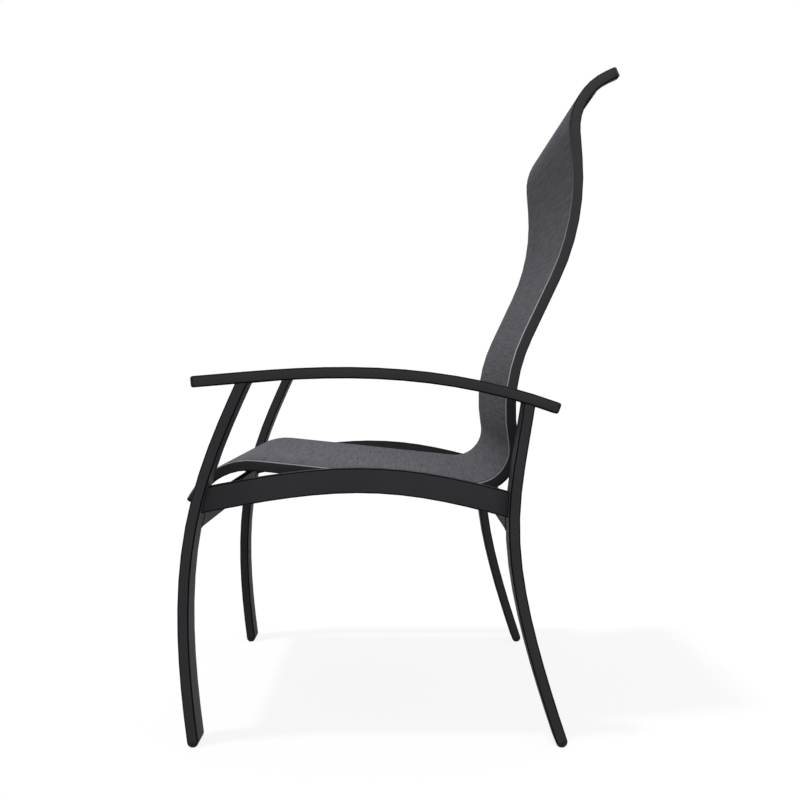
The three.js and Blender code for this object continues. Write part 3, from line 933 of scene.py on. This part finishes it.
@dataclass(frozen=True)
class WeldBead:
    """A fillet weld under the powder coat, with the ripples of its small pools."""

    radius_mm: float = 1.0
    ripple_mm: float = 2.4  # pools of a pulsed weld in 2 mm tube
    ripple_share: float = 0.07
    step_mm: float = 0.8
    around: int = 8
    flush_inset_mm: float = 1.2  # keeps the ripples within faces that are flush
    straight_across: float = 0.9  # the share of Y in a heading that counts as along Y

    def lay(self, name: str, points: list[Vector]) -> None:
        """Lays the bead round a closed line.

        Args:
            name: the bead's name.
            points: the line it follows, close together.
        """
        rings: list[Vector] = []
        for i, gone in enumerate(ways(points)):
            heading = (points[(i + 1) % len(points)] - points[i - 1]).normalized()
            side = heading.orthogonal().normalized()
            if abs(heading.dot(ACROSS)) < self.straight_across:
                side = heading.cross(ACROSS).normalized()
            up = heading.cross(side)
            ripple = self.ripple_share * math.sin(math.tau * gone / mm(self.ripple_mm))
            ring = circle(mm(self.radius_mm) * (1 + ripple), self.around)
            rings += [points[i] + side * x + up * y for x, y in ring]
        faces = ring_faces(len(points), self.around, closed_path=True)
        new_piece(name, rings, faces, FRAME_COAT)


BEAD = WeldBead()


@dataclass(frozen=True)
class SideFrame:
    """One side frame: arm, two legs and the rail between them."""

    side: Side
    arm: TubeLine = TubeLine(
        ((-0.0006, 0.96), (0.2507, 0.9788), (0.6021, 1.0284), (0.9913, 0.8892)), ARM_HEIGHTS
    )
    front_leg: TubeLine = TubeLine(
        ((0, 0), (-0.0662, 0.6724), (0.009, 0.9253), (0.1469, 0.978)),
        LEG_HEIGHTS,
        SIZES.foot_centre,
    )
    rear_leg: TubeLine = TubeLine(
        ((1, 0), (0.8104, 0.7468), (0.8699, 0.8361), (0.9154, 0.9392)),
        LEG_HEIGHTS,
        SIZES.foot_centre,
    )
    side_rail: TubeLine = TubeLine(
        ((0.0166, 0.8645), (0.4035, 0.9678), (0.5604, 0.959), (0.8678, 0.8472)), SEAT_HEIGHTS
    )

    def dress(self) -> None:
        """Coats the tubes and finishes their caps and feet."""
        word = self.side.word
        for part in ("arm", "front_leg", "rear_leg", "side_rail"):
            dress(f"{word}_{part}", FRAME_COAT)
        for part in ("arm_front_cap", "arm_rear_cap"):
            dress(f"{word}_{part}", CAP_NYLON)
        for part in ("front_foot", "rear_foot"):
            dress(f"{word}_{part}", FOOT_NYLON)

    @property
    def plane(self) -> float:
        """The middle plane of the frame, along Y, in metres."""
        return self.side.value * mm((SIZES.overall_width - SIZES.tube_wide) / 2)

    def weld(self) -> None:
        """Lays the beads that join the tubes."""
        half_thick = mm(SIZES.tube_thick / 2)
        arm_underside = self.arm.edge(half_thick)
        leg_size = (SIZES.tube_thick, SIZES.tube_wide - 2 * BEAD.flush_inset_mm)
        rail_size = (SIZES.side_rail_tall, SIZES.side_rail_thick)
        legs = (("front", self.front_leg, LegFace.REAR), ("rear", self.rear_leg, LegFace.FRONT))
        for name, leg, inner in legs:
            self.weld_round(f"{name}_leg_weld", leg, leg_size, arm_underside)
            leg_face = leg.edge(inner.value * half_thick)
            self.weld_round(f"side_rail_{name}_weld", self.side_rail, rail_size, leg_face)

    def weld_round(self, name: str, tube: TubeLine, size: Pair, face: list[Vector]) -> None:
        """Lays a bead round the end of a tube, where it meets a face.

        Args:
            name: the bead's name after the side's.
            tube: the tube's centre line.
            size: how deep and how wide the tube is there, in millimetres.
            face: the line of the face that it meets.
        """
        size = (mm(size[0]), mm(size[1]))
        outline = rounded_outline(size, mm(SIZES.tube_corner), mm(BEAD.step_mm))
        meets = {depth: crossing(tube.edge(depth), face) for depth in {d for d, _ in outline}}
        line = [meets[depth] + ACROSS * (self.plane + across) for depth, across in outline]
        BEAD.lay(f"{self.side.word}_{name}", line)


@dataclass(frozen=True)
class CrossRail:
    """A straight rail between the side frames, flush with one face of the legs."""

    name: str
    leg: TubeLine
    height_share: float
    flush: LegFace

    def dress(self) -> None:
        """Coats the rail."""
        dress(self.name, FRAME_COAT)

    def weld(self) -> None:
        """Lays the bead round each end of the rail, on the leg's inner face."""
        station = self.leg.at_height(mm(self.height_share * SIZES.seat_height))
        shift = self.flush.value * mm(SIZES.tube_thick - SIZES.cross_rail_thick) / 2
        size = (mm(SIZES.cross_rail_thick), mm(SIZES.cross_rail_tall))
        outline = rounded_outline(size, mm(SIZES.stock_corner), mm(BEAD.step_mm))
        inner_face = mm(SIZES.overall_width / 2 - SIZES.tube_wide)
        for side in Side:
            centre = station.at(side.value * inner_face, shift)
            line = [centre + station.behind * x + station.heading * z for x, z in outline]
            BEAD.lay(f"{self.name}_{side.word}_weld", line)


@dataclass(frozen=True)
class SlingRail:
    """One grooved sling rail with its spline, caps, bolts and spacers."""

    side: Side

    def dress(self) -> None:
        """Coats the extrusion and finishes what it carries."""
        word = self.side.word
        dress(f"{word}_sling_rail", RAIL_COAT)
        dress(f"{word}_sling_spline", VINYL_ROD)
        for part in ("rail_front_cap", "rail_head_cap", "front_spacer", "rear_spacer"):
            dress(f"{word}_{part}", CAP_NYLON)
        for part in ("front_bolt", "rear_bolt"):
            dress(f"{word}_{part}", OXIDE_STEEL)


@dataclass(frozen=True)
class Spreader:
    """A bar that holds the sling rails apart, with a plug in each end."""

    name: str

    def dress(self) -> None:
        """Coats the bar and finishes its plugs."""
        dress(self.name, FRAME_COAT)
        for side in Side:
            dress(f"{self.name}_{side.word}_plug", CAP_NYLON)


@dataclass(frozen=True)
class SlingLine:
    """The line of the sling from its front edge to its head, straight and bent."""

    seat_corner_shares: tuple[Pair, ...] = ((-0.0349, 0.8561), (0.037, 1.0177), (0.8827, 0.9022))
    back_corner_shares: tuple[Pair, ...] = (
        (0.8352, 0.1953),
        (1.0492, 0.6142),
        (1.0197, 0.9448),
        (1.1563, 1.0014),
    )
    bend_radii_mm: tuple[float, ...] = (115, 58, 301, 386, 103)

    def corners(self) -> list[Vector]:
        """The corners that the bends round off.

        Returns:
            The corners, from the front edge up.
        """
        rise = SIZES.overall_height - SIZES.seat_height
        low = [SIZES.place(s, SIZES.seat_height) for s in self.seat_corner_shares]
        return low + [SIZES.place(s, rise, SIZES.seat_height) for s in self.back_corner_shares]

    def stations(self, step: float) -> list[Station]:
        """Stations along the whole line.

        Args:
            step: the most distance between two of them, in metres.

        Returns:
            The stations, evenly spaced on each straight or bend.
        """
        corners = self.corners()
        legs = [b - a for a, b in zip(corners, corners[1:])]
        angles = [math.atan2(leg.z, leg.x) for leg in legs]
        turns = [b - a for a, b in zip(angles, angles[1:])]
        setbacks = [mm(r) * math.tan(abs(t) / 2) for r, t in zip(self.bend_radii_mm, turns)]
        wanted = [0.0, *setbacks, 0.0]
        found: list[Station] = []
        start = corners[0]
        for i, turn in enumerate(turns):
            before, here, after = wanted[i : i + 3]
            rooms = (legs[i].length / (before + here), legs[i + 1].length / (here + after))
            setback = here * min(1.0, *rooms)
            heading = legs[i].normalized()
            bend_start = Station(corners[i + 1] - heading * setback, heading)
            found += self.straight(start, bend_start, step)
            found += self.bend(bend_start, turn, setback / math.tan(abs(turn) / 2), step)
            start = corners[i + 1] + legs[i + 1].normalized() * setback
        last = Station(corners[-1], legs[-1].normalized())
        return [*found, *self.straight(start, last, step), last]

    @staticmethod
    def straight(start: Vector, end: Station, step: float) -> list[Station]:
        """Stations of a straight stretch, a step or less apart, without its end."""
        count = max(1, math.ceil((end.point - start).length / step))
        return [Station(start.lerp(end.point, i / count), end.heading) for i in range(count)]

    @staticmethod
    def bend(start: Station, turn: float, radius: float, step: float) -> list[Station]:
        """Stations of a bend, without its end.

        Args:
            start: where the bend starts.
            turn: how far it turns, anticlockwise when positive.
            radius: the bend's radius.
            step: the most distance between two stations.

        Returns:
            The stations.
        """
        count = max(2, math.ceil(abs(turn) * radius / step))
        hand = math.copysign(radius, turn)
        centre = start.at(0, -hand)
        found = []
        for i in range(count):
            now = turn * i / count
            heading = start.heading * math.cos(now) - start.behind * math.sin(now)
            found.append(Station(Station(centre, heading).at(0, hand), heading))
        return found


@dataclass(frozen=True)
class Sling:
    """The woven sling: cloth from groove to groove, with a stitched hem at each end."""

    line: SlingLine = SlingLine()
    cloth_mm: float = 1.0
    hem_mm: float = 24
    end_inset_mm: float = 8.3  # rail cap, fit and the cloth's own inset
    end_merge_mm: float = 0.5  # the least way from an end to the next station
    step_mm: float = 5
    columns: int = 26
    groove_mm: float = 5.9  # the rail's outer face to the middle of its groove
    bore_mm: float = 3.3
    bore_depth_mm: float = 6.6
    wrap_degrees: Pair = (49, -72)
    wrap_steps: int = 6
    slot_straight_mm: float = 0.6
    slot_turn_mm: float = 1.1  # radius at which the cloth turns into the slot
    slot_turn_steps: int = 4

    def stations(self) -> list[Station]:
        """The line's stations between the cloth's two ends.

        Returns:
            The stations, the two ends included.
        """
        stations = self.line.stations(mm(self.step_mm))
        inset, least = mm(self.end_inset_mm), mm(self.end_inset_mm + self.end_merge_mm)
        first, last = stations[0], stations[-1]
        inner = [s for s in stations if (s.point - first.point).length > least]
        inner = [s for s in inner if (s.point - last.point).length > least]
        begin = Station(first.point + first.heading * inset, first.heading)
        end = Station(last.point - last.heading * inset, last.heading)
        return [begin, *inner, end]

    def half_section(self) -> list[Pair]:
        """The middle of the cloth from its tail to the flat, on one side.

        Returns:
            Pairs of distance inboard of the rail's outer face and depth.
        """
        radius = self.bore_mm - SIZES.seat_gap - self.cloth_mm / 2
        bore = (self.groove_mm, self.bore_depth_mm)
        turn = (self.groove_mm + self.slot_turn_mm, self.cloth_mm / 2 + self.slot_turn_mm)
        points = arc(bore, radius, self.wrap_degrees, self.wrap_steps)
        points.append((self.groove_mm, turn[1] + self.slot_straight_mm))
        points += arc(turn, self.slot_turn_mm, (-180, -90), self.slot_turn_steps)
        return [(mm(x), mm(y)) for x, y in points]

    def section(self) -> tuple[list[Vector], list[float]]:
        """The closed outline of the cloth across the chair.

        Returns:
            Points as (along Y, depth), and the way along the cloth to each.
        """
        half_cloth = mm(self.cloth_mm / 2)
        left = [Vector((x - SIZES.rail_outer, depth)) for x, depth in self.half_section()]
        shares = [1 - 2 * i / self.columns for i in range(1, self.columns)]
        flats = [Vector((left[-1].x * share, half_cloth)) for share in shares]
        middle = left + flats + [Vector((-p.x, p.y)) for p in reversed(left)]
        face, back = [], []
        for point, a, b in zip(middle, middle[:1] + middle, middle[1:] + middle[-1:]):
            heading = (b - a).normalized()
            off = Vector((heading.y, -heading.x)) * half_cloth
            face.append(point + off)
            back.append(point - off)
        run = ways(middle)
        return face + back[::-1], run + run[::-1]

    def build_cloth(self) -> bpy.types.Object:
        """Builds the cloth from groove to groove and puts it in the CAD sheet's place.

        Returns:
            The cloth.
        """
        stations = self.stations()
        outline, run = self.section()
        points = [station.at(y, depth) for station in stations for y, depth in outline]
        faces = ring_faces(len(stations), len(outline))
        gone = ways([station.point for station in stations])
        places = [(along, across) for along in gone for across in run]
        cloth = new_piece("woven_sling", points, faces, SLING_CLOTH, places)
        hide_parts("sling_fabric")
        low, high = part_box("sling_fabric")
        reach = [max(p[k] for p in points) - high[k] for k in range(3)]
        short = [low[k] - min(p[k] for p in points) for k in range(3)]
        LOG.info("woven_sling past the packed sheet by %.2f mm", max(reach + short) / mm(1))
        return cloth

    def build(self) -> None:
        cloth = self.build_cloth()
        extras = []
        for end in End:
            hem = Hem(self, end)
            extras += [hem.build_fold(), hem.build_stitches()]
        width = max(self.section()[1])
        length = ways([s.point for s in self.stations()])[-1] + 2 * mm(self.hem_mm)
        LOG.info("sling is cut %.0f by %.0f mm", width / mm(1), length / mm(1))


@dataclass(frozen=True)
class Hem:
    """One end of the cloth, folded back on itself between the rails and sewn down."""

    sling: Sling
    end: End
    side_gap_mm: float = 1.2
    fold_steps: int = 6
    nose_steps: int = 6
    gap_share: float = 0.04  # of the cloth's thickness, between the cloth and the fold
    rows_mm: tuple[float, ...] = (5, 20)  # in from the end
    row_side_gap_mm: float = 4.8
    pitch_mm: float = 4.2
    stitch_mm: float = 3.3
    stitch_rings: int = 5
    taper_share: float = 0.1  # of a half wave, left out at each end of a stitch
    thread_mm: float = 0.55
    thread_sides: int = 5
    rise_share: float = 0.2  # of the thread's thickness, from the cloth to its middle

    @property
    def name(self) -> str:
        """The start of the names of the hem's pieces."""
        return f"sling_{self.end.name.lower()}"

    def half_width(self, side_gap_mm: float) -> float:
        """Half the way between the sling rails, less a gap, in metres."""
        return SIZES.rail_outer - mm(SIZES.rail_wide + side_gap_mm)

    def bent(self, spots: Iterable[Triple]) -> list[Vector]:
        """Takes spots on a flat end to where the bent cloth has them.

        Args:
            spots: for each one the way in from the end, the place along Y and the
                depth behind the cloth's face, in metres.

        Returns:
            The points.
        """
        stations = self.sling.stations()[:: self.end.value]
        gone = ways([station.point for station in stations])
        points = []
        for inward, across, depth in spots:
            i = max(0, bisect_left(gone, inward) - 1)
            a, b = stations[i], stations[i + 1]
            share = (inward - gone[i]) / (gone[i + 1] - gone[i])
            heading = a.heading.lerp(b.heading, max(0.0, share)).normalized()
            place = Station(a.point + (b.point - a.point) * share, heading)
            points.append(place.at(across, depth))
        return points

    def build_fold(self) -> bpy.types.Object:
        """Folds the cloth back, between the rails.

        Returns:
            The folded strip, which lies against the back of the cloth.
        """
        thick = mm(self.sling.cloth_mm)
        ins = [mm(self.sling.hem_mm) * i / self.fold_steps for i in range(self.fold_steps + 1)]
        profile = arc((0, thick), thick, (-90, -270), self.nose_steps)
        profile += [(s, 2 * thick) for s in ins[1:]]
        profile += [(s, (1 + self.gap_share) * thick) for s in reversed(ins)]
        half, columns = self.half_width(self.side_gap_mm), self.sling.columns
        rows = [-half + 2 * half * i / columns for i in range(columns + 1)]
        points = self.bent((s, y, depth) for y in rows for s, depth in profile)
        places = [(s + depth, y) for y in rows for s, depth in profile]
        faces = ring_faces(len(rows), len(profile))
        return new_piece(f"{self.name}_hem", points, faces, SLING_CLOTH, places)

    def stitch(self) -> list[Triple]:
        """The points of one stitch, which runs along Y and tapers to its ends.

        Returns:
            The points, ring by ring.
        """
        points: list[Triple] = []
        for ring in range(self.stitch_rings):
            share = ring / (self.stitch_rings - 1)
            wave = self.taper_share + (1 - 2 * self.taper_share) * share
            radius = mm(self.thread_mm / 2) * math.sin(math.pi * wave)
            y = mm(self.stitch_mm) * share
            points += [(s, y, depth) for s, depth in circle(radius, self.thread_sides)]
        return points

    def build_stitches(self) -> bpy.types.Object:
        """Sews the hem down with rows of lock stitches, seen on both faces.

        Returns:
            All stitches of the hem as one piece.
        """
        half = self.half_width(self.row_side_gap_mm)
        count = int(2 * half / mm(self.pitch_mm))
        rise = mm(self.thread_mm) * self.rise_share
        stitch, sides = self.stitch(), ring_faces(self.stitch_rings, self.thread_sides)
        spots: list[Triple] = []
        faces: list[Face] = []
        for row in self.rows_mm:
            for deep in (-rise, mm(2 * self.sling.cloth_mm) + rise):
                for i in range(count):
                    start = -half + i * mm(self.pitch_mm)
                    faces += [tuple(len(spots) + n for n in side) for side in sides]
                    spots += [(mm(row) + s, start + y, deep + depth) for s, y, depth in stitch]
        name = f"{self.name}_stitches"
        return new_piece(name, self.bent(spots), faces, HEM_THREAD)


@dataclass(frozen=True)
class Studio:
    """The pale floor, the plain light and the camera of the photograph, in metres."""

    floor_half: float = 9.0
    ambient_colour: str = "#f4f5f7"
    ambient: float = 0.5
    sun_strength: float = 1.5
    sun_travel: Triple = (0.266, 0.12, -1)
    sun_degrees: float = 5.0
    box_size: float = 2.6
    box_place: Triple = (1.5, -1.1, 2.9)
    box_watts: float = 84
    camera_place: Triple = (-0.0018, -1.9085, 0.61898)
    camera_pitch_degrees: float = 88.307
    camera_lens_mm: float = 43.47
    sensor_mm: float = 36

    def build(self) -> None:
        """Builds the floor, world, lamps and camera."""
        floor = self.build_floor()
        self.build_world()
        self.build_lamps(floor)
        self.build_camera()
        bpy.context.scene.view_settings.view_transform = "Standard"

    def build_floor(self) -> bpy.types.Object:
        """The floor: white to the eye, with the chair's soft shadow on it.

        Returns:
            The floor.
        """
        h = self.floor_half
        mesh = bpy.data.meshes.new("floor")
        mesh.from_pydata([(-h, -h, 0), (h, -h, 0), (h, h, 0), (-h, h, 0)], [], [(0, 1, 2, 3)])
        mesh.materials.append(FLOOR_PAPER.material())
        floor = put_in_scene(mesh)
        LOG.info("built the floor")
        return floor

    def build_world(self) -> None:
        """The world: white to the eye, and an even soft light on the chair."""
        world = bpy.data.worlds.new("studio_world")
        world.use_nodes = True
        fill_tree(world.node_tree, [
            *seen_directly(),
            ("light", "Background", (linear(self.ambient_colour), self.ambient)),
            ("white", "Background", ((1, 1, 1, 1), 1.0)),
            ("sky", "MixShader", ("seen", "light", "white")),
            ("end", "OutputWorld", ("sky",)),
        ])
        bpy.context.scene.world = world
        LOG.info("built the world")

    def build_lamps(self, floor: bpy.types.Object) -> None:
        """The key lamp, which draws the shadow, and a wide soft box on the chair alone.

        Args:
            floor: the floor, which the soft box leaves out.
        """
        key = bpy.data.lights.new("key_lamp", "SUN")
        key.energy = self.sun_strength
        key.angle = math.radians(self.sun_degrees)
        key_lamp = put_in_scene(key)
        key_lamp.rotation_euler = Vector(self.sun_travel).to_track_quat("-Z", "Y").to_euler()
        box = bpy.data.lights.new("soft_box", "AREA")
        box.shape = "SQUARE"
        box.size = self.box_size
        box.energy = self.box_watts
        soft_box = put_in_scene(box)
        soft_box.location = self.box_place
        lit = bpy.data.collections.new("soft_box_lights")
        lit.objects.link(floor)
        lit.collection_objects[0].light_linking.link_state = "EXCLUDE"
        soft_box.light_linking.receiver_collection = lit
        LOG.info("hung %s and %s", key_lamp.name, soft_box.name)

    def build_camera(self) -> None:
        """The camera, level with the arms and turned slightly down."""
        lens = bpy.data.cameras.new("camera")
        lens.lens = self.camera_lens_mm
        lens.sensor_width = self.sensor_mm
        camera = put_in_scene(lens)
        camera.location = self.camera_place
        camera.rotation_euler = (math.radians(self.camera_pitch_degrees), 0, 0)
        bpy.context.scene.camera = camera
        LOG.info("placed the camera")


def main() -> None:
    """Builds the chair's sub-assemblies in order, then the studio."""
    logging.basicConfig(level=logging.INFO, format="%(name)s: %(message)s", stream=sys.stdout)
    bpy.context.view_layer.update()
    front, rear = SideFrame.front_leg, SideFrame.rear_leg
    for part in (
        *(SideFrame(side) for side in Side),
        CrossRail("front_cross_rail", front, SIZES.front_cross_share, LegFace.REAR),
        CrossRail("rear_cross_rail", rear, SIZES.rear_cross_share, LegFace.FRONT),
    ):
        part.dress()
        part.weld()
    for side in Side:
        SlingRail(side).dress()
    for name in ("seat_spreader", "back_spreader", "head_spreader"):
        Spreader(name).dress()
    Sling().build()
    Studio().build()


if __name__ == "__main__":
    main()
